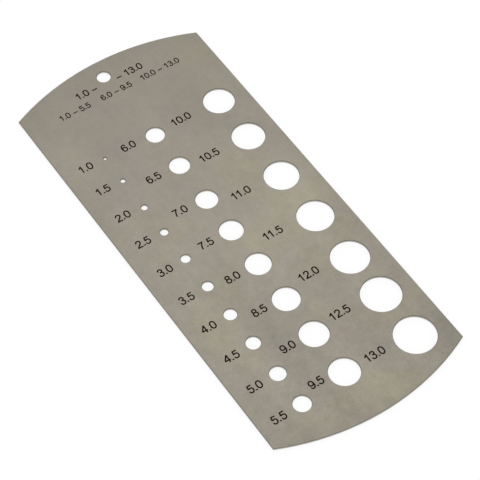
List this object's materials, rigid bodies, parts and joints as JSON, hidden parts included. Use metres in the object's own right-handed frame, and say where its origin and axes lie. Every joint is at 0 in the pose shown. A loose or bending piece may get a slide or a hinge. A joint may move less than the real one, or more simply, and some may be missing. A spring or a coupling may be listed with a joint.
{
  "type": "drill size gauge",
  "caption": "Flat steel sheet gauge with graded round holes in three columns for checking the diameter of twist drills, and a hole to hang it from",
  "frame": {"origin": "middle of the sheet, on its underside", "axes": "+Z is the face that carries the numbers, +Y runs along the sheet to the end with the hanging hole, +X runs across to the right as the numbers are read"},
  "size_m": [0.0662, 0.1556, 0.0008],
  "materials": {
    "gauge_plate": "satin stainless steel sheet"
  },
  "bodies": {
    "root": {"gauge_plate": "gauge_plate"}
  },
  "joints": []
}
